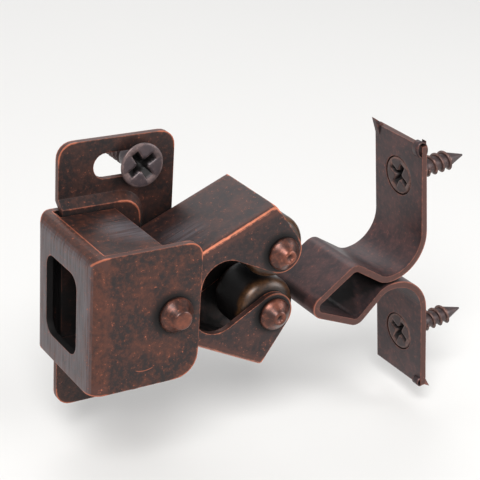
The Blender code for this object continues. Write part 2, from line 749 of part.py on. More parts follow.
def build_strike(frame, material):
    """The strip with its screw holes and the spurs that bite the door."""
    solid = bmesh.new()
    half = STRIKE_WIDTH / 2
    verts = [solid.verts.new((u, -half, v)) for u, v in strike_path()]
    edges = [solid.edges.new(pair) for pair in zip(verts, verts[1:])]
    drawn = bmesh.ops.extrude_edge_only(solid, edges=edges)["geom"]
    moved = [g for g in drawn if isinstance(g, bmesh.types.BMVert)]
    bmesh.ops.translate(solid, vec=(0.0, STRIKE_WIDTH, 0.0), verts=moved)
    mesh = bpy.data.meshes.new("strike")
    solid.to_mesh(mesh)
    solid.free()
    strike = add_part("strike", mesh, frame, material)
    wall = strike.modifiers.new("sheet", "SOLIDIFY")
    wall.thickness = SHEET
    wall.offset = 0.0
    wall.use_even_offset = True

    back = WING_FACE + SHEET
    root = back - SHEET / 2
    for side, label in ((1, "upper"), (-1, "lower")):
        end = side * (WING_HALF_LENGTH - SEAT_GAP)
        spur = [
            (root, end), (root, end - side * SPUR_WIDTH),
            (back + SPUR_LENGTH, end + side * SPUR_FLARE)]
        horn = [
            (WING_FACE + SEAT_GAP, end - side * SPUR_WIDTH),
            (back - SEAT_GAP, end - side * SPUR_WIDTH), (back - SEAT_GAP, end),
            (WING_FACE - HORN_LEAN, end + side * HORN_RISE)]
        for edge in (-1, 1):
            outside = edge * (half - SEAT_GAP)
            inside = outside - edge * SHEET
            corner = horn if side == edge == 1 else spur
            mesh_spur = outline_solid(corner, min(outside, inside), max(outside, inside))
            cutter = add_cutter(label + "_spur_" + ("near", "far")[edge > 0], mesh_spur, frame)
            boolean(strike, cutter, "UNION")
    wide = STRIKE_SCREW_HEAD + BORE_GAP
    rim = WING_FACE + HEAD_RIM
    for side, label in ((1, "upper"), (-1, "lower")):
        z = side * WING_SCREW_Z + WING_SCREW_LIFT
        sink = rod(wide, (rim, 0, z), (rim + SHEET, 0, z), wide - SHEET, HEAD_RIM + SHEET)
        boolean(strike, add_cutter(label + "_countersink", sink, frame))
    shade(mesh, 40.0)
    return strike


# Assembly

BRONZE = metal("antique_copper", (0.075, 0.042, 0.036), 0.42)
COPPER = metal("worn_copper", (0.16, 0.062, 0.040), 0.38)
DARK = metal("dark_roller", (0.020, 0.016, 0.014), 0.22)
SCREW_METAL = metal("screw_bronze", (0.105, 0.080, 0.080), 0.40)
SPRING_STEEL = metal("spring_steel", (0.30, 0.29, 0.28), 0.32)

pivot_line = empty("pivot_line", (-ORIGIN_FROM_PIVOT, 0.0, 0.0))
build_housing(pivot_line, BRONZE)
build_mounting_plate(pivot_line, BRONZE)
build_pivot_rivet(pivot_line, COPPER)
build_spring(pivot_line, SPRING_STEEL)

TAIL_SHAPE_ANGLE = (UPPER_REST + LOWER_REST) / 2
UPPER_PATH = web_path(TAIL_SHAPE_ANGLE, UPPER_WEB_AT_PIVOT, UPPER_WEB_SLOPE)
LOWER_PATH = web_path(TAIL_SHAPE_ANGLE, LOWER_WEB_AT_PIVOT, LOWER_WEB_SLOPE)
ARMS = (
    ("upper", 1, UPPER_ARM_FRONT, UPPER_ARM_BACK, UPPER_REST, UPPER_PATH, UPPER_NOTCH_Z),
    ("lower", -1, LOWER_ARM_FRONT, LOWER_ARM_BACK, LOWER_REST, LOWER_PATH, LOWER_NOTCH_Z),
)
for label, side, front, back, rest, path, notch_z in ARMS:
    arm_axis = empty(label + "_arm_axis", (0, 0, 0), pivot_line, -side * rest)
    build_arm(
        label + "_arm", arm_axis, front, back, path, TAIL_SHAPE_ANGLE, notch_z, side, BRONZE)
    roller_axis = empty(label + "_roller_axis", (ARM_REACH, 0, 0), arm_axis)
    profile = pin_profile(
        front, back, PIN_RADIUS, PIN_HEAD_RADIUS, PIN_CROWN_RADIUS, PIN_HEAD_HEIGHT, PIN_DIMPLE)
    turned(label + "_roller_pin", profile, roller_axis, (0, 0, 0), COPPER, FACING_FRONT)
    build_roller(label + "_roller", roller_axis, front, back, DARK)

PLATE_HEAD_Y = -SHEET - (PLATE_SCREW_HEAD - SLOT_WIDTH / 2) - HEAD_RIM - SEAT_GAP
for label, side in (("upper", 1), ("lower", -1)):
    place = (PLATE_SCREW_X, PLATE_HEAD_Y, side * SLOT_Z - PLATE_DROP)
    build_screw(
        "plate_screw_" + label, pivot_line, place, PLATE_SCREW_HEAD, FACING_FRONT,
        math.radians(52), SCREW_METAL)

door_hinge = empty("door_hinge", (DOOR_HINGE_X, 0.0, DOOR_HINGE_Z), pivot_line, -DOOR_AJAR)
neck = empty(
    "strike_neck", (LATCHED_NECK_X - DOOR_HINGE_X, STRIKE_MIDDLE_Y, -DOOR_HINGE_Z), door_hinge)
build_strike(neck, BRONZE)
for label, side in (("upper", 1), ("lower", -1)):
    place = (WING_FACE + SEAT_GAP, 0.0, side * WING_SCREW_Z + WING_SCREW_LIFT)
    build_screw(
        "strike_screw_" + label, neck, place, STRIKE_SCREW_HEAD, FACING_CATCH, 0.0, SCREW_METAL)
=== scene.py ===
"""A double roller catch and its strike in antique copper, on a pale floor."""

import math

import bmesh
import bpy
from mathutils import Matrix, Vector
from mathutils.bvhtree import BVHTree
from mathutils.kdtree import KDTree


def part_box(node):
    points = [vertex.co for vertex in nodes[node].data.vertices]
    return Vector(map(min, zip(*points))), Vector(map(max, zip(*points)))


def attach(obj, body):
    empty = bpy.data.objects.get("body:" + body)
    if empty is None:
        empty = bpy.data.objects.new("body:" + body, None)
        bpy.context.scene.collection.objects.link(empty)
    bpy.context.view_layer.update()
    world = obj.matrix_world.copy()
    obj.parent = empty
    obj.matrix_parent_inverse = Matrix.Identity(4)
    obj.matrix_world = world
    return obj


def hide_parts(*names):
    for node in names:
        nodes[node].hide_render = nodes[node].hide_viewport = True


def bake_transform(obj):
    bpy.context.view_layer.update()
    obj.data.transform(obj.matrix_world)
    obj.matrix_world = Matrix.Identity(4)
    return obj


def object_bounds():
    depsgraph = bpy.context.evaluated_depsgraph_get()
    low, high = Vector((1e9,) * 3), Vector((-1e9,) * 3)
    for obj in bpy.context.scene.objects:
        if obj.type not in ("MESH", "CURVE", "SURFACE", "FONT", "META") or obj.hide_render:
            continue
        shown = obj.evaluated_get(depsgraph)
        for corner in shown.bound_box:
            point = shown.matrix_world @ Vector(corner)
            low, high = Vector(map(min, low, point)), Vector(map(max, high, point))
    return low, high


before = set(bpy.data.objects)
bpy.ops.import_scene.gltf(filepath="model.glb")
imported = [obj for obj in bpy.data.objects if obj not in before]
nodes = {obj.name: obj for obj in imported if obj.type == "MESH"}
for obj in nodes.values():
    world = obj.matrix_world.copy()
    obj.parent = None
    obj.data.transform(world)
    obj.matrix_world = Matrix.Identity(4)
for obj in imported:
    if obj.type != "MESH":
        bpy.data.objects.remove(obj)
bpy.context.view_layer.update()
MM = 0.001

# Housing
# A box folded from 0.8 mm steel, plated in antique copper and tumbled, so the copper shows where
# the sheet was sheared or bent; the hollows are black with patina and painted shade.


class Signal:
    """A socket of a material's nodes. Arithmetic on it adds Math nodes."""

    def __init__(self, tree, socket=None):
        self.tree = tree
        self.socket = socket

    def add(self, kind, settings, feeds, out=0):
        node = self.tree.nodes.new(kind)
        for key, value in settings.items():
            setattr(node, key, value)
        for key, value in feeds.items():
            if isinstance(value, Signal):
                self.tree.links.new(value.socket, node.inputs[key])
            else:
                node.inputs[key].default_value = value
        return Signal(self.tree, node.outputs[out])

    def calculate(self, operation, first, second=0.0):
        return self.add("ShaderNodeMath", {"operation": operation}, {0: first, 1: second})

    def __add__(self, other):
        return self.calculate("ADD", self, other)

    def __sub__(self, other):
        return self.calculate("SUBTRACT", self, other)

    def __rsub__(self, other):
        return self.calculate("SUBTRACT", other, self)

    def __mul__(self, other):
        return self.calculate("MULTIPLY", self, other)

    __radd__ = __add__
    __rmul__ = __mul__

    def root(self):
        return self.calculate("SQRT", self)

    def unsigned(self):
        return self.calculate("ABSOLUTE", self)

    def step(self, low, high):
        """Nought below low and one above high, with a smooth rise between."""
        return self.add(
            "ShaderNodeMapRange", {"interpolation_type": "SMOOTHSTEP"},
            {"Value": self, "From Min": low, "From Max": high, "To Min": 0.0, "To Max": 1.0})

    def blend(self, from_colour, to_colour):
        """A colour between two, by this mask."""
        return self.add(
            "ShaderNodeMix", {"data_type": "RGBA"}, {0: self, 6: from_colour, 7: to_colour}, 2)

    def cloud(self, place, scale, detail=3.0, roughness=0.55):
        return self.add(
            "ShaderNodeTexNoise", {},
            {"Vector": place, "Scale": scale, "Detail": detail, "Roughness": roughness})

    def trace(self, name):
        """A value that the mesh holds at its points."""
        return self.add("ShaderNodeAttribute", {"attribute_name": name}, {}, "Fac")


def tone(red, green, blue):
    """A colour as a picture editor shows it, 0 to 255, made linear."""
    parts = [value / 255 for value in (red, green, blue)]
    return tuple(p / 12.92 if p <= 0.04045 else ((p + 0.055) / 1.055) ** 2.4 for p in parts) + (1.0,)


# Black for patina in hollows, and for painted shade and shadow.
PATINA_AND_SHADE_BLACK = tone(17, 14, 14)
# Grey of the painted sheen.
SHEEN_GREY = tone(102, 96, 100)
SHEARED_COPPER = tone(80, 49, 42)


def antique_copper(
        name, dark, warm, bright, seed, worn=1.0, roughness=0.40, freckle=1.0, metallic=0.5,
        gloss=0.12, mottle=1.0, scratches=None):
    """Dark plating with reddish clouds, copper at edges and bends, specks, painted sheen and
    highlights, and black in hollows from patina and painted shade.
    """
    material = bpy.data.materials.new(name)
    material.use_nodes = True
    tree = material.node_tree
    shader = tree.nodes["Principled BSDF"]
    skin = Signal(tree)
    here = skin.add("ShaderNodeTexCoord", {}, {}, "Object")
    place = skin.add("ShaderNodeMapping", {}, {"Vector": here, "Location": (seed, seed * 1.7, -seed)})
    grain_line = skin.add("ShaderNodeMapping", {}, {"Vector": here, "Scale": (0.05, 1.0, 0.05)})
    clouds = skin.cloud(place, 330.0, 5.0, 0.62)
    grains = skin.cloud(place, 1700.0, 4.0, 0.66)
    dust = skin.cloud(place, 5200.0, 2.0, 0.5)
    strokes = skin.cloud(grain_line, 4200.0, 3.0, 0.6)
    edge = 1.0 - skin.trace("edge").step(0.03, 0.24)
    bend = 1.0 - skin.trace("bend").step(0.05, 0.80)
    sheared = skin.trace("sheared")
    # Patina in hollows and painted shade, with the painted shadow ring round each rivet head added
    # below.
    patina_and_shade = skin.trace("patina_and_shade")
    sheen_patch = skin.trace("sheen_patch")
    crease_wear_and_glint = skin.trace("crease_wear_and_glint")
    # Painted shadow: a dark ring round the foot of each rivet head, joined to the patina and painted
    # shade.
    foot = 1.0 - skin.trace("foot").step(0.10, 1.0)
    patina_and_shade = patina_and_shade.calculate("MAXIMUM", patina_and_shade, foot * 0.95)

    patches = (clouds.step(0.42, 0.64) * 0.5 + grains.step(0.42, 0.66) * 0.6) * mottle
    # Wear at edges and bends, with the painted highlight on the arms' near creases.
    wear_and_light = edge * 0.62 + bend * 0.36 + crease_wear_and_glint * 0.56
    rubbed_and_glint = (wear_and_light + grains * 0.70 + clouds * 0.30 - 0.70).step(0.20, 0.75) * worn
    specks = (grains * 0.6 + dust * 0.6).step(0.732, 0.785) * freckle
    colour = patches.blend(dark, warm)
    # Warm copper on bends; on the rollers this is the painted brown highlight at the ends.
    colour = (bend * (grains.step(0.32, 0.66) * 0.7 + 0.3)).blend(colour, warm)
    colour = (sheared * 0.9).blend(colour, SHEARED_COPPER)
    # Painted sheen, broken into streaks.
    colour = (sheen_patch * strokes.step(0.20, 0.68)).blend(colour, SHEEN_GREY)
    colour = rubbed_and_glint.blend(colour, bright)
    colour = (specks * 0.8).blend(colour, bright)
    if scratches:
        colour = scratches(here).blend(colour, bright)
    # Patina and painted shade go on last, in black.
    colour = patina_and_shade.blend(colour, PATINA_AND_SHADE_BLACK)
    tree.links.new(colour.socket, shader.inputs["Base Color"])
    rough = grains * 0.16 + roughness - rubbed_and_glint * 0.08 + patina_and_shade * 0.25
    tree.links.new(rough.socket, shader.inputs["Roughness"])
    shader.inputs["Metallic"].default_value = metallic
    shader.inputs["Coat Weight"].default_value = gloss
    shader.inputs["Coat Roughness"].default_value = 0.34
    relief = clouds * 0.5 + grains * 0.8 + dust * 0.35
    bump = skin.add(
        "ShaderNodeBump", {}, {"Strength": 0.30, "Distance": 0.00004, "Height": relief})
    tree.links.new(bump.socket, shader.inputs["Normal"])
    return material


SHEET_THICK = 0.8 * MM
BROKEN_EDGE = 0.13 * MM
SKIN_STEP = 0.65 * MM
SPLIT_ROUNDS = 5
TOUCHING = 0.002 * MM
JUST_UNDER = 0.02 * MM
NEARLY_FLAT = math.radians(1.5)
LEAST_FOLD = math.radians(5.0)
FAR_OFF = 3.0
FEELER_COUNT = 24
FEELER_START = 0.08 * MM
FEELER_REACH = 14.0 * MM
NEAR_SHADOW = 1.1 * MM
GRAZING = 0.12

assembled = bmesh.new()
for part_of_it in nodes.values():
    assembled.from_mesh(part_of_it.data)
surroundings = BVHTree.FromBMesh(assembled)
assembled.free()

FEELERS = []
for count in range(FEELER_COUNT):
    lift = 1.0 - (2 * count + 1) / FEELER_COUNT
    turn = count * math.pi * (3.0 - math.sqrt(5.0))
    across = math.sqrt(1.0 - lift * lift)
    FEELERS.append(Vector((across * math.cos(turn), across * math.sin(turn), lift)))


def gentle(value, low, high):
    """Nought below low and one above high, with a smooth rise between."""
    share = min(max((value - low) / (high - low), 0.0), 1.0)
    return share * share * (3.0 - 2.0 * share)


def patina_and_shade_at(point, normal):
    """Patina where the polishing never reached, and painted shade: one deep in a hollow or close under
    a part, nought in the open.
    """
    start = point + normal * FEELER_START
    total = covered = close = 0.0
    for feeler in FEELERS:
        weight = feeler.dot(normal)
        if weight < GRAZING:
            continue
        total += weight
        _, facing, _, distance = surroundings.ray_cast(start, feeler, FEELER_REACH)
        if distance is not None and facing.dot(feeler) < 0.0:
            covered += weight
            close += weight * math.exp(-distance / NEAR_SHADOW)
    if not total:
        return 0.0
    return max(gentle(covered / total, 0.55, 0.86), gentle(close / total, 0.14, 0.45))


def extent(node):
    """The lowest corner, the highest one and the middle of a node, in millimetres."""
    low, high = (Vector(corner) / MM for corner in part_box(node))
    return low, high, (low + high) / 2


PIVOT_HEAD_RADIUS = 2.1
PIVOT_HEAD_HEIGHT = 1.8
PIN_HEAD_RADIUS = 2.0
PIN_HEAD_HEIGHT = 1.5
SEAT_GAP = 0.1
# Painted shadow: the dark ring round each rivet head is centred this far left of and above the head, so
# it is broader there.
SHADOW_LEAN_X = -0.22
SHADOW_LEAN_Z = 0.12
low, high, middle = extent("pivot_rivet")
head_feet = [(low.y + PIVOT_HEAD_HEIGHT + SEAT_GAP, middle.x, middle.z, PIVOT_HEAD_RADIUS)]
for side in ("upper", "lower"):
    low, high, middle = extent(side + "_roller_pin")
    for face in (low.y + PIN_HEAD_HEIGHT + SEAT_GAP, high.y - PIN_HEAD_HEIGHT - SEAT_GAP):
        head_feet.append((face, middle.x, middle.z, PIN_HEAD_RADIUS))


def from_head(place):
    """Painted shadow round a rivet head: how far a place on a face lies from the foot of the nearest
    head that sits on it, from a centre shifted left and up.
    """
    nearest = FAR_OFF
    for face, x, z, radius in head_feet:
        if abs(place.y - face) < 2 * SEAT_GAP:
            away = math.hypot(place.x - x - SHADOW_LEAN_X, place.z - z - SHADOW_LEAN_Z) - radius
            nearest = min(nearest, max(away, -SEAT_GAP))
    return nearest


def along(edges, spacing=0.08 * MM):
    """Points along some edges, close together, in a tree."""
    points = []
    for edge in edges:
        start, end = (vert.co for vert in edge.verts)
        count = max(1, int((end - start).length / spacing))
        points += [start.lerp(end, i / count) for i in range(count + 1)]
    tree = KDTree(len(points))
    for i, point in enumerate(points):
        tree.insert(point, i)
    tree.balance()
    return tree


def plated(solid, name, body, replaced, material, sharp=38.0, broken=BROKEN_EDGE, rules=None):
    """A piece from a solid: sharp edges broken, skin divided, and its wear, patina and painted light
    written at its points.
    """
    rules = rules or {}
    edges = [e for e in solid.edges if len(e.link_faces) == 2]
    hard = [e for e in edges if e.calc_face_angle() > math.radians(sharp)]
    folds = [e for e in edges if LEAST_FOLD < e.calc_face_angle_signed() <= math.radians(sharp)]
    near_edge = along([e for e in hard if e.calc_face_angle_signed() > 0])
    near_bend = along(folds if broken else [])
    if broken:
        bmesh.ops.bevel(
            solid, geom=hard, offset=broken, segments=3, profile=0.5, affect="EDGES", material=-1,
            clamp_overlap=True)
    bmesh.ops.triangulate(solid, faces=solid.faces)
    for _ in range(SPLIT_ROUNDS):
        long_edges = [e for e in solid.edges if e.calc_length() > SKIN_STEP]
        if not long_edges:
            break
        bmesh.ops.subdivide_edges(solid, edges=long_edges, cuts=1)
        bmesh.ops.triangulate(solid, faces=solid.faces)
    itself = BVHTree.FromBMesh(solid)
    mesh = bpy.data.meshes.new(name)
    solid.to_mesh(mesh)
    solid.free()
    mesh.shade_smooth()
    wear_and_light = ("edge", "bend", "sheared", "patina_and_shade", "sheen_patch", "foot", "crease_wear_and_glint")
    for key in wear_and_light:
        mesh.attributes.new(key, "FLOAT", "POINT")
    layers = {key: mesh.attributes[key].data for key in wear_and_light}
    for vert, direction in zip(mesh.vertices, mesh.vertex_normals):
        place = vert.co.copy()
        normal = direction.vector.copy()
        for key, tree in (("edge", near_edge), ("bend", near_bend)):
            distance = tree.find(place)[2]
            layers[key][vert.index].value = FAR_OFF if distance is None else min(distance / MM, FAR_OFF)
        depth = itself.ray_cast(place - normal * JUST_UNDER, -normal)[3]
        thick = SHEET_THICK if depth is None or not broken else depth
        layers["sheared"][vert.index].value = gentle(thick / SHEET_THICK, 1.3, 2.0)
        layers["patina_and_shade"][vert.index].value = patina_and_shade_at(place, normal)
        layers["foot"][vert.index].value = from_head(place / MM) if broken else FAR_OFF
        for key, rule in rules.items():
            value = rule(place / MM, normal)
            if value is not None:
                layers[key][vert.index].value = value
    mesh.materials.append(material)
    piece = bpy.data.objects.new(name, mesh)
    bpy.context.collection.objects.link(piece)
    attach(piece, body)
    if replaced:
        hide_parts(replaced)


def sheet(node):
    """A copy of a node's sheet with its loose triangles merged and its flats made whole."""
    solid = bmesh.new()
    solid.from_mesh(nodes[node].data)
    bmesh.ops.remove_doubles(solid, verts=solid.verts, dist=TOUCHING)
    bmesh.ops.dissolve_limit(
        solid, angle_limit=NEARLY_FLAT, verts=solid.verts, edges=solid.edges)
    return solid


def round_patch(place, centre_x, centre_y, radius, feather):
    """One in the middle of a round patch on a level face, and nought outside it."""
    return gentle(radius - math.hypot(place.x - centre_x, place.y - centre_y), 0.0, feather)


CLOSED_END = -13.8
FLAP_HEIGHT = 6.0


def housing_sheen(place, normal):
    """Painted sheen in grey streaks on the closed end, and in a round patch on the upper flap."""
    if place.x < CLOSED_END and normal.x < -0.5:
        return 0.85 * gentle(-normal.x, 0.75, 0.98)
    if place.z > FLAP_HEIGHT and normal.z > 0.8:
        return round_patch(place, -6.0, -8.0, 5.0, 3.6)
    return 0.0


SCRATCH_X = -7.95 * MM
SCRATCH_Z = -3.40 * MM
SCRATCH_RADIUS = 2.8 * MM


def bow_scratch(here):
    """One bow-shaped scratch low on the front, where bare copper shows."""
    beside, depth, upright = (
        here.add("ShaderNodeSeparateXYZ", {}, {0: here}, axis) for axis in range(3))
    beside = beside - SCRATCH_X
    above = upright - SCRATCH_Z
    square = beside * beside + above * above
    away = (square.root() - SCRATCH_RADIUS).unsigned()
    line = 1.0 - away.step(0.01 * MM, 0.07 * MM)
    short = 1.0 - beside.unsigned().step(0.85 * MM, 1.15 * MM)
    below = 1.0 - upright.step(-5.0 * MM, -4.8 * MM)
    front = 1.0 - depth.step(-14.50 * MM, -14.40 * MM)
    return line * short * below * front * 0.8


DARK_BROWN = tone(38, 30, 30)
WARM_BROWN = tone(88, 50, 38)
RUBBED_COPPER = tone(172, 98, 72)


INSIDE_END = -13.4
WINDOW_NEAR = -11.6
WINDOW_FAR = -2.6
WINDOW_HALF_HEIGHT = 5.6


def window_shade(place, normal):
    """Painted shade: black on the walls of the window, where little light reaches."""
    level = WINDOW_NEAR < place.y < WINDOW_FAR and abs(place.z) < WINDOW_HALF_HEIGHT
    return 1.0 if level and place.x < INSIDE_END and abs(normal.x) < 0.75 else None


housing_plating = antique_copper(
    "housing_plating", DARK_BROWN, WARM_BROWN, RUBBED_COPPER, 0.31, scratches=bow_scratch)
plated(
    sheet("housing"), "housing_sheet", "catch_body", "housing", housing_plating,
    rules={"sheen_patch": housing_sheen, "patina_and_shade": window_shade})

# Mounting plate
# A flat strip of the same steel with a pressed pad and two slots, plated a little darker than
# the housing.

plate_plating = antique_copper(
    "plate_plating", tone(36, 29, 29), tone(74, 45, 37), RUBBED_COPPER, 0.77, freckle=0.6)
plated(
    sheet("mounting_plate"), "plate_sheet", "catch_body", "mounting_plate",
    plate_plating)

# Arms
# Two folded channels of the same steel, nested on the pivot. The bend between a web and its
# ears is the part that everything rubs against, so it is rubbed bright, and a painted highlight runs
# along the near one.


def arm_sheen(place, normal):
    """Painted sheen: a grey patch where the web comes out from under the flap."""
    return 0.8 * round_patch(place, -0.2, -8.6, 3.6, 3.0) if normal.z >= 0.6 else 0.0


def arm_crease_wear_and_glint(place, normal):
    """The bright line along the bend between a web and its near ear: rubbed copper with a painted
    highlight, on the part of the bend that faces the front.
    """
    return gentle(1.0 - abs(-normal.y - 0.66) / 0.26, 0.0, 0.8)


arm_plating = antique_copper(
    "arm_plating", tone(40, 32, 33), tone(76, 48, 42), tone(196, 116, 86), 1.31, freckle=0.6)
for arm in ("upper_arm", "lower_arm"):
    plated(
        sheet(arm), arm + "_sheet", arm, arm, arm_plating,
        rules={"sheen_patch": arm_sheen, "crease_wear_and_glint": arm_crease_wear_and_glint})

# Far ear's lug
# The lower arm's far ear is cut less deep than its near one. The lug is of the same sheet,
# and it stands behind the roller, with its two upper corners rounded.

LUG_NEAR = -4.05
LUG_FAR = -3.35
LUG_TOP = 0.0
LUG_CORNER = 1.5 * MM
LUG_OUTLINE = (
    (5.65, LUG_TOP), (10.9, LUG_TOP), (11.3, -2.0), (8.6, -2.2), (7.6, -3.6), (5.2, -4.6), (5.65, -3.0))

lug = bmesh.new()
corners = [lug.verts.new((x * MM, LUG_NEAR * MM, z * MM)) for x, z in LUG_OUTLINE]
near_side = lug.faces.new(corners)
raised = bmesh.ops.extrude_face_region(lug, geom=[near_side])["geom"]
far_side = [g for g in raised if isinstance(g, bmesh.types.BMVert)]
bmesh.ops.translate(lug, vec=(0, (LUG_FAR - LUG_NEAR) * MM, 0), verts=far_side)
top_corners = [
    e for e in lug.edges
    if e.calc_length() < SHEET_THICK and all(abs(v.co.z - LUG_TOP * MM) < TOUCHING for v in e.verts)]
bmesh.ops.bevel(
    lug, geom=top_corners, offset=LUG_CORNER, segments=8, profile=0.5, affect="EDGES", material=-1)
bmesh.ops.recalc_face_normals(lug, faces=lug.faces)


def lug_shade(place, normal):
    """Painted shade: nearly black on the side towards the roller."""
    return 0.85 if normal.y < -0.7 else None


plated(
    lug, "lower_arm_lug", "lower_arm", None, arm_plating, rules={"patina_and_shade": lug_shade})

# Strike
# One strip folded to a hollow spear with a narrow neck and a wing each way, on a door that is
# ajar. Its plating is greyer than the catch's, and its sheared rim is plain copper.

DOOR_AJAR = math.radians(7.54)
TOWARDS_DOOR = Vector((math.cos(DOOR_AJAR), 0.0, math.sin(DOOR_AJAR)))
STRIKE_UP = Vector((-math.sin(DOOR_AJAR), 0.0, math.cos(DOOR_AJAR)))
NEAR_CORNER = Vector((28.6, -13.2, 14.9)) * MM
CORNER_SPAN = 1.9 * MM
NEAR_BAND = -12.6 * MM
SPUR_ROOT = Vector((28.75, 0.0, 15.1)) * MM
SPUR_KEPT = 0.50 * MM
SPUR_SLACK = 0.05 * MM

strike_plating = antique_copper(
    "strike_plating", tone(58, 47, 49), tone(92, 63, 61), tone(156, 94, 76), 2.13, worn=0.8,
    freckle=0.6)
strip = sheet("strike")
for vert in strip.verts:
    beyond = (vert.co - SPUR_ROOT).dot(TOWARDS_DOOR) - SPUR_KEPT
    at_corner = (vert.co - NEAR_CORNER).length < CORNER_SPAN and vert.co.y < NEAR_BAND
    if at_corner and beyond > SPUR_SLACK:
        vert.co -= TOWARDS_DOOR * beyond
plated(strip, "strike_sheet", "strike", "strike", strike_plating)

# Curled corners
# Where the strip was cropped, the burr on each near corner of the wings has rolled up into a
# small open curl.

BURR_WALL = 0.14 * MM
CURL_NEAR = -13.52
CURL_LENGTH = 1.1


def curl(name, x, z, half_width, half_height, lean):
    """A short open tube that lies along Y at the strip's near edge."""
    solid = bmesh.new()
    bmesh.ops.create_circle(solid, cap_ends=False, segments=24, radius=1.0)
    bmesh.ops.rotate(solid, matrix=Matrix.Rotation(math.pi / 2, 3, "X"), verts=solid.verts)
    bmesh.ops.scale(solid, vec=(half_width * MM, 1.0, half_height * MM), verts=solid.verts)
    bmesh.ops.rotate(solid, matrix=Matrix.Rotation(math.radians(lean), 3, "Y"), verts=solid.verts)
    bmesh.ops.translate(solid, vec=(x * MM, CURL_NEAR * MM, z * MM), verts=solid.verts)
    drawn = bmesh.ops.extrude_edge_only(solid, edges=list(solid.edges))["geom"]
    moved = [g for g in drawn if isinstance(g, bmesh.types.BMVert)]
    bmesh.ops.translate(solid, vec=(0, CURL_LENGTH * MM, 0), verts=moved)
    bmesh.ops.recalc_face_normals(solid, faces=solid.faces)
    bmesh.ops.solidify(solid, geom=list(solid.faces), thickness=BURR_WALL)
    bmesh.ops.recalc_face_normals(solid, faces=solid.faces)

    # Painted shade: the inside of the curl is black.
    def curl_inside_shade(place, normal):
        inward = normal.x * (x - place.x) + normal.z * (z - place.z)
        return 1.0 if inward > 0.15 else 0.0

    plated(
        solid, name, "strike", None, strike_plating, sharp=50.0, broken=0.0,
        rules={"patina_and_shade": curl_inside_shade})


curl("upper_near_curl", 28.85, 14.00, 0.74, 1.06, -18.0)
curl("lower_near_curl", 33.05, -18.15, 0.54, 0.58, 0.0)

# Rivets
# Turned copper-plated steel. The pivot's head is a round dome with a flat crown. The roller
# pins have tall cones with a dished crown at each end, where they were set.


def turned(profile, centre_x, centre_z, steps=72, closed=False):
    """A solid turned about a line along Y, from radius and place in millimetres."""
    solid = bmesh.new()
    verts = [
        solid.verts.new(((centre_x + radius) * MM, place * MM, centre_z * MM))
        for radius, place in profile]
    edges = [solid.edges.new(pair) for pair in zip(verts, verts[1:])]
    if closed:
        edges.append(solid.edges.new((verts[-1], verts[0])))
    bmesh.ops.spin(
        solid, geom=verts + edges, axis=(0, 1, 0), cent=(centre_x * MM, 0, centre_z * MM),
        dvec=(0, 0, 0), angle=2 * math.pi, steps=steps, use_merge=True, use_duplicate=False)
    bmesh.ops.remove_doubles(solid, verts=solid.verts, dist=TOUCHING)
    bmesh.ops.recalc_face_normals(solid, faces=solid.faces)
    return solid


PIN_HEAD = (
    (0.0, 1.12), (0.24, 1.16), (0.40, 1.40), (0.56, 1.50), (0.76, 1.47), (0.88, 1.34),
    (1.16, 1.04), (1.52, 0.74), (1.82, 0.48), (1.97, 0.28), (2.00, 0.14), (1.96, 0.0))
PIVOT_HEAD = (
    (0.0, 1.80), (0.90, 1.80), (1.05, 1.74), (1.15, 1.60), (1.32, 1.28), (1.60, 0.90),
    (1.88, 0.55), (2.06, 0.32), (2.10, 0.15), (2.06, 0.0))
PIVOT_RADIUS = 1.3
TENON_RADIUS = 0.6
TENON_START = -2.0
PIN_RADIUS = 1.0

rivet_copper = antique_copper(
    "rivet_copper", tone(58, 34, 28), tone(120, 66, 48), tone(206, 132, 104), 3.3, freckle=0.5,
    roughness=0.26, gloss=0.3, metallic=0.65)


def crown_wear(centre_x, centre_z, crown):
    """Brighter on the crown, which stands out furthest."""
    def rule(place, normal):
        away = math.hypot(place.x - centre_x, place.z - centre_z)
        return 0.30 + FAR_OFF * gentle(away, crown, crown + 0.3)
    return rule


def dish_shade(centre_x, centre_z):
    """Painted shade: black at the bottom of the dish in each crown."""
    def rule(place, normal):
        away = math.hypot(place.x - centre_x, place.z - centre_z)
        return 0.9 * (1.0 - gentle(away, 0.14, 0.40)) if away < 0.40 else None
    return rule


low, high, middle = extent("pivot_rivet")
face = low.y + PIVOT_HEAD_HEIGHT
outline = [(radius, face - height) for radius, height in PIVOT_HEAD]
outline += [(PIVOT_RADIUS, face), (PIVOT_RADIUS, TENON_START)]
outline += [(TENON_RADIUS, TENON_START), (TENON_RADIUS, high.y), (0.0, high.y)]
plated(
    turned(outline, middle.x, middle.z), "pivot_turned", "catch_body", "pivot_rivet",
    rivet_copper, sharp=60.0, broken=0.0, rules={"bend": crown_wear(middle.x, middle.z, 0.95)})

for side in ("upper", "lower"):
    low, high, middle = extent(side + "_roller_pin")
    front = low.y + PIN_HEAD_HEIGHT
    back = high.y - PIN_HEAD_HEIGHT
    outline = [(radius, front - height) for radius, height in PIN_HEAD]
    outline += [(PIN_RADIUS, front), (PIN_RADIUS, back)]
    outline += [(radius, back + height) for radius, height in reversed(PIN_HEAD)]
    plated(
        turned(outline, middle.x, middle.z), side + "_pin_turned", side + "_arm",
        side + "_roller_pin", rivet_copper, sharp=60.0, broken=0.0,
        rules={
            "patina_and_shade": dish_shade(middle.x, middle.z),
            "bend": crown_wear(middle.x, middle.z, 0.80)})

# Rollers
# Hardened tubes, blackened, with well rounded ends that carry a painted brown highlight. Each
# turns freely on its pin.

ROLLER_OUT = 3.8
ROLLER_BORE = 1.2
ROUNDINGS = ((ROLLER_OUT, 1.4 * MM, 8), (ROLLER_BORE, 0.15 * MM, 2))

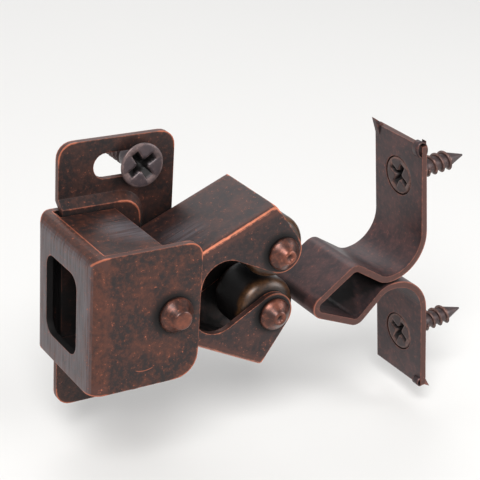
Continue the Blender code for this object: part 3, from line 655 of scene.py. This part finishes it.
# Near black, with the brown of a painted highlight on the rounded ends.
roller_finish = antique_copper(
    "roller_finish", tone(17, 15, 15), tone(92, 60, 34), tone(92, 62, 40), 4.1, worn=0.3,
    roughness=0.26, freckle=0.0, metallic=0.3, gloss=0.15, mottle=0.08)


def roller_end_glint(near_end, far_end):
    """How far a place is from where the ends turn over, where a brown highlight is painted."""
    def rule(place, normal):
        reach = min(place.y - near_end, far_end - place.y)
        return min(abs(reach - 0.75) * 0.8, FAR_OFF)
    return rule


for side in ("upper", "lower"):
    low, high, middle = extent(side + "_roller")
    outline = [
        (ROLLER_BORE, low.y), (ROLLER_OUT, low.y), (ROLLER_OUT, high.y), (ROLLER_BORE, high.y)]
    roller = turned(outline, middle.x, middle.z, closed=True)
    for radius, rounding, segments in ROUNDINGS:
        rings = []
        for edge in roller.edges:
            start, end = (vert.co / MM - middle for vert in edge.verts)
            at_radius = abs(math.hypot(start.x, start.z) - radius) < 0.05
            if at_radius and abs(start.y - end.y) < 0.01 and edge.calc_face_angle() > math.radians(60):
                rings.append(edge)
        bmesh.ops.bevel(
            roller, geom=rings, offset=rounding, segments=segments, profile=0.5,
            affect="EDGES", material=-1, clamp_overlap=True)
    plated(
        roller, side + "_roller_turned", side + "_roller", side + "_roller",
        roller_finish, sharp=60.0, broken=0.0, rules={"bend": roller_end_glint(low.y, high.y)})

# Screws
# Countersunk 3 mm wood screws with a cross recess, plated like the sheet. The heads are
# polished flat, so they look paler than what they hold, with a bright thin rim.

SCREW_LENGTH = 9.8
HEAD_RIM = 0.25
NECK_RADIUS = 1.3
NECK_END = 3.4
CORE_RADIUS = 0.95
CORE_START = 3.8
POINT_LENGTH = 2.4
THREAD_START = 3.9
THREAD_END = SCREW_LENGTH - 2.0
THREAD_HALF_WIDTH = 0.24
THREAD_ROOT = CORE_RADIUS - 0.08
THREAD_CREST = NECK_RADIUS + 0.02
THREAD_PITCH = 1.1
THREAD_STEPS = 24
RECESS_DEPTH = 1.25
PROUD = 0.06


def screw_head_and_core(head):
    """The head's face at the origin, facing -Y, and the core to +Y."""
    cone_end = HEAD_RIM + head - NECK_RADIUS
    return turned(
        ((0.0, 0.0), (head - 0.16, 0.0), (head - 0.05, 0.03), (head, 0.10), (head, HEAD_RIM),
         (NECK_RADIUS, cone_end), (NECK_RADIUS, NECK_END), (CORE_RADIUS, CORE_START),
         (CORE_RADIUS, SCREW_LENGTH - POINT_LENGTH), (0.12, SCREW_LENGTH), (0.0, SCREW_LENGTH)),
        0.0, 0.0, 64)


def as_object(solid, name):
    """An object from a bmesh, which is spent."""
    mesh = bpy.data.meshes.new(name)
    solid.to_mesh(mesh)
    solid.free()
    made = bpy.data.objects.new(name, mesh)
    bpy.context.collection.objects.link(made)
    return made


def cross_recess(head_object, span, width, twist):
    """Cuts the cross: two tapered blades and a cone between them."""
    cutters = []
    for quarter in range(2):
        blade = bmesh.new()
        bmesh.ops.create_cube(blade, size=1.0)
        bmesh.ops.scale(
            blade, vec=(span * MM, (RECESS_DEPTH + PROUD) * MM, width * MM), verts=blade.verts)
        bmesh.ops.translate(
            blade, vec=(0, (RECESS_DEPTH - PROUD) / 2 * MM, 0), verts=blade.verts)
        deep = [v for v in blade.verts if v.co.y > 0]
        bmesh.ops.scale(blade, vec=(0.42, 1.0, 0.55), verts=deep)
        bmesh.ops.rotate(
            blade, matrix=Matrix.Rotation(twist + quarter * math.pi / 2, 3, "Y"), verts=blade.verts)
        cutters.append(as_object(blade, "blade"))
    middle_cone = ((0.0, -PROUD), (width * 0.86, -PROUD), (0.30, 1.6), (0.0, 1.75))
    cutters.append(as_object(turned(middle_cone, 0.0, 0.0, 24), "cone"))
    for cutter in cutters:
        cut = head_object.modifiers.new("cross", "BOOLEAN")
        cut.operation = "DIFFERENCE"
        cut.solver = "EXACT"
        cut.object = cutter
    bpy.context.view_layer.update()
    cut_mesh = bpy.data.meshes.new_from_object(
        head_object.evaluated_get(bpy.context.evaluated_depsgraph_get()))
    solid = bmesh.new()
    solid.from_mesh(cut_mesh)
    bmesh.ops.remove_doubles(solid, verts=solid.verts, dist=TOUCHING)
    for spent in cutters + [head_object]:
        bpy.data.objects.remove(spent)
    return solid


def add_thread(solid):
    """A sharp ridge wound round the core, from under the neck to the point."""
    turns = (THREAD_END - THREAD_START) / THREAD_PITCH
    section = [
        solid.verts.new((THREAD_ROOT * MM, (THREAD_START - THREAD_HALF_WIDTH) * MM, 0)),
        solid.verts.new((THREAD_CREST * MM, THREAD_START * MM, 0)),
        solid.verts.new((THREAD_ROOT * MM, (THREAD_START + THREAD_HALF_WIDTH) * MM, 0))]
    first = solid.faces.new(section)
    steps = int(turns * THREAD_STEPS)
    wound = bmesh.ops.spin(
        solid, geom=[first] + list(first.edges) + section, axis=(0, 1, 0), cent=(0, 0, 0),
        dvec=(0, THREAD_PITCH / THREAD_STEPS * MM, 0), angle=turns * 2 * math.pi, steps=steps,
        use_merge=False, use_duplicate=False)
    last = [g for g in wound["geom_last"] if isinstance(g, bmesh.types.BMVert)]
    tip = sum((v.co for v in last), Vector()) / len(last)
    bmesh.ops.scale(
        solid, vec=(0.6, 1.0, 0.6), verts=last, space=Matrix.Translation((0, -tip.y, 0)))
    bmesh.ops.recalc_face_normals(solid, faces=solid.faces)


def recess_shade(inverse, head):
    """Painted shade: black in the cross, and open elsewhere on the head."""
    def rule(place, normal):
        local = inverse @ (place * MM) / MM
        radius = math.hypot(local.x, local.z)
        cone = head - max(local.y - HEAD_RIM, 0.0)
        if 0.02 < local.y < 2.0 and radius < cone * 0.78 and radius < head - 0.3:
            return gentle(local.y, 0.0, 0.14)
        if local.y < 0.5:
            return 0.0
        return None
    return rule


screw_finish = antique_copper(
    "screw_finish", tone(72, 63, 66), tone(86, 71, 73), tone(150, 126, 120), 5.2, worn=0.7,
    freckle=0.3, roughness=0.34)
wing_screw_finish = antique_copper(
    "wing_screw_finish", tone(58, 48, 49), tone(80, 60, 58), tone(160, 118, 104), 6.4, worn=0.7,
    freckle=0.3)

into_wall = Matrix.Identity(3)
into_door = Matrix((-Vector((0, 1, 0)), TOWARDS_DOOR, STRIKE_UP)).transposed()
NECK = Vector((26.5053, -8.9, -2.6947))
WING_SEAT = NECK + TOWARDS_DOOR * 4.43
UPPER_HOLE = STRIKE_UP * 11.35
LOWER_HOLE = STRIKE_UP * -10.75
PLATE_SEAT = Vector((-2.3, -2.25, -0.55))
SLOT_HEIGHT = Vector((0.0, 0.0, 13.2))

PLATE_SCREW = ("catch_body", 2.65, into_wall, 3.9, 1.0, 57.0, screw_finish)
WING_SCREW = ("strike", 2.36, into_door, 3.5, 0.80, 28.0, wing_screw_finish)
SCREWS = (
    ("plate_screw_upper", PLATE_SEAT + SLOT_HEIGHT, PLATE_SCREW),
    ("plate_screw_lower", PLATE_SEAT - SLOT_HEIGHT, PLATE_SCREW),
    ("strike_screw_upper", WING_SEAT + UPPER_HOLE, WING_SCREW),
    ("strike_screw_lower", WING_SEAT + LOWER_HOLE, WING_SCREW))
for name, place, kind in SCREWS:
    body, head, turn_to, span, width, twist, finish = kind
    blank = as_object(screw_head_and_core(head), name + "_blank")
    screw = cross_recess(blank, span, width, math.radians(twist))
    add_thread(screw)
    seat = Matrix.Translation(place * MM) @ turn_to.to_4x4()
    bmesh.ops.transform(screw, matrix=seat, verts=screw.verts)
    plated(
        screw, name + "_cut", body, name, finish, sharp=14.0, broken=0.0,
        rules={"patina_and_shade": recess_shade(seat.inverted(), head)})

# Spring
# A compression coil of plain drawn wire between the arms' tails. It is made in two halves
# that meet in its middle, because each half is pressed by its own arm.

SPRING_TURN_STEPS = 24
WIRE_RADIUS = 0.25
spring_wire = bpy.data.materials.new("drawn_wire")
spring_wire.use_nodes = True
wire_shader = spring_wire.node_tree.nodes["Principled BSDF"]
wire_shader.inputs["Metallic"].default_value = 0.9
wire_skin = Signal(spring_wire.node_tree)
wire_place = wire_skin.add("ShaderNodeTexCoord", {}, {}, "Object")
drawn = wire_skin.cloud(wire_place, 2600.0, 4.0, 0.6)
wire_colour = drawn.step(0.3, 0.75).blend(tone(96, 92, 90), tone(148, 143, 138))
spring_wire.node_tree.links.new(wire_colour.socket, wire_shader.inputs["Base Color"])
wire_rough = drawn * 0.25 + 0.22
spring_wire.node_tree.links.new(wire_rough.socket, wire_shader.inputs["Roughness"])

low, high, middle = extent("spring")
coil_x = middle.x
coil_y = middle.y
coil_radius = (high.x - low.x) / 2 - WIRE_RADIUS
coil_end = min(-low.z, high.z) - WIRE_RADIUS
CLOSED_RISE = 2.3 * WIRE_RADIUS


def coil_half(name, way):
    """Three open turns from the middle, and a closed one at the end."""
    coil = bmesh.new()
    bmesh.ops.create_circle(coil, cap_ends=True, segments=12, radius=WIRE_RADIUS * MM)
    bmesh.ops.rotate(coil, matrix=Matrix.Rotation(math.pi / 2, 3, "X"), verts=coil.verts)
    bmesh.ops.translate(coil, vec=((coil_x + coil_radius) * MM, coil_y * MM, 0), verts=coil.verts)
    section = list(coil.faces) + list(coil.edges) + list(coil.verts)
    for turns, rise in ((3, coil_end - CLOSED_RISE), (1, CLOSED_RISE)):
        steps = turns * SPRING_TURN_STEPS
        wound = bmesh.ops.spin(
            coil, geom=section, axis=(0, 0, 1), cent=(coil_x * MM, coil_y * MM, 0),
            dvec=(0, 0, way * rise / steps * MM), angle=way * turns * 2 * math.pi, steps=steps,
            use_merge=False, use_duplicate=False)
        section = wound["geom_last"]
    bmesh.ops.remove_doubles(coil, verts=coil.verts, dist=TOUCHING)
    bmesh.ops.recalc_face_normals(coil, faces=coil.faces)
    piece = as_object(coil, name)
    piece.data.shade_smooth()
    piece.data.materials.append(spring_wire)
    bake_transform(piece)
    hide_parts("spring")


coil_half("spring_upper_half", 1)
coil_half("spring_lower_half", -1)

# Floor, light and camera
# A pale matt floor under a white sky, with a soft lamp from the left, a weaker one from the
# right and a weak one behind. The camera stands to the left and looks down on the catch.

FLOOR_DROP = 3.0 * MM
FLOOR_PALE = (0.80, 0.79, 0.77, 1.0)
SKY_PALE = (0.93, 0.94, 0.96, 1.0)
DAYLIGHT = 0.55
SKY_LIFT = 0.50
MIRRORED_LIFT = 0.20

pale_floor = bpy.data.materials.new("pale_floor")
pale_floor.use_nodes = True
floor_shader = pale_floor.node_tree.nodes["Principled BSDF"]
floor_shader.inputs["Base Color"].default_value = FLOOR_PALE
floor_shader.inputs["Roughness"].default_value = 0.7
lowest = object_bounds()[0][2]
bpy.ops.mesh.primitive_plane_add(size=6.0, location=(0, 0, lowest - FLOOR_DROP))
floor = bpy.context.object
floor.name = "floor"
floor.data.materials.append(pale_floor)

world = bpy.data.worlds.new("studio")
world.use_nodes = True
bpy.context.scene.world = world
background = world.node_tree.nodes["Background"]
background.inputs["Color"].default_value = SKY_PALE
sky = Signal(world.node_tree)
seen = sky.add("ShaderNodeLightPath", {}, {}, "Is Camera Ray")
mirrored = sky.add("ShaderNodeLightPath", {}, {}, "Is Glossy Ray")
let_through = sky.add("ShaderNodeLightPath", {}, {}, "Is Transmission Ray")
daylight = seen * SKY_LIFT + (mirrored + let_through) * MIRRORED_LIFT + DAYLIGHT
world.node_tree.links.new(daylight.socket, background.inputs["Strength"])

LIT_PLACE = Vector((0.008, -0.007, 0.0))
LAMPS = (
    ("key", (-0.22, -0.30, 0.36), 0.26, 2.2),
    ("fill", (0.34, -0.26, 0.16), 0.24, 0.9),
    ("rim", (0.10, 0.30, 0.30), 0.30, 0.35),
)
for name, place, size, power in LAMPS:
    lamp = bpy.data.lights.new(name, "AREA")
    lamp.shape = "DISK"
    lamp.size = size
    lamp.energy = power
    holder = bpy.data.objects.new(name, lamp)
    holder.location = place
    towards = LIT_PLACE - Vector(place)
    holder.rotation_euler = towards.to_track_quat("-Z", "Y").to_euler()
    bpy.context.collection.objects.link(holder)

AZIMUTH = math.radians(32.86)
ELEVATION = math.radians(23.67)
ROLL = math.radians(3.77)
CAMERA_PLACE = Vector((-0.07434, -0.13503, 0.07030))
PICTURE_WIDTH = 480.0
FOCAL_PIXELS = 1425.0
forward = Vector((
    math.sin(AZIMUTH) * math.cos(ELEVATION), math.cos(AZIMUTH) * math.cos(ELEVATION),
    -math.sin(ELEVATION)))
level = Vector((math.cos(AZIMUTH), -math.sin(AZIMUTH), 0.0))
upright = level.cross(forward)
right = math.cos(ROLL) * level + math.sin(ROLL) * upright
up = math.cos(ROLL) * upright - math.sin(ROLL) * level
lens = bpy.data.cameras.new("camera")
lens.sensor_width = 36.0
lens.lens = FOCAL_PIXELS / PICTURE_WIDTH * lens.sensor_width
lens.clip_start = 0.01
camera = bpy.data.objects.new("camera", lens)
looking = Matrix((right, up, -forward)).transposed()
camera.matrix_world = Matrix.Translation(CAMERA_PLACE) @ looking.to_4x4()
bpy.context.collection.objects.link(camera)
bpy.context.scene.camera = camera
bpy.context.scene.view_settings.view_transform = "Standard"
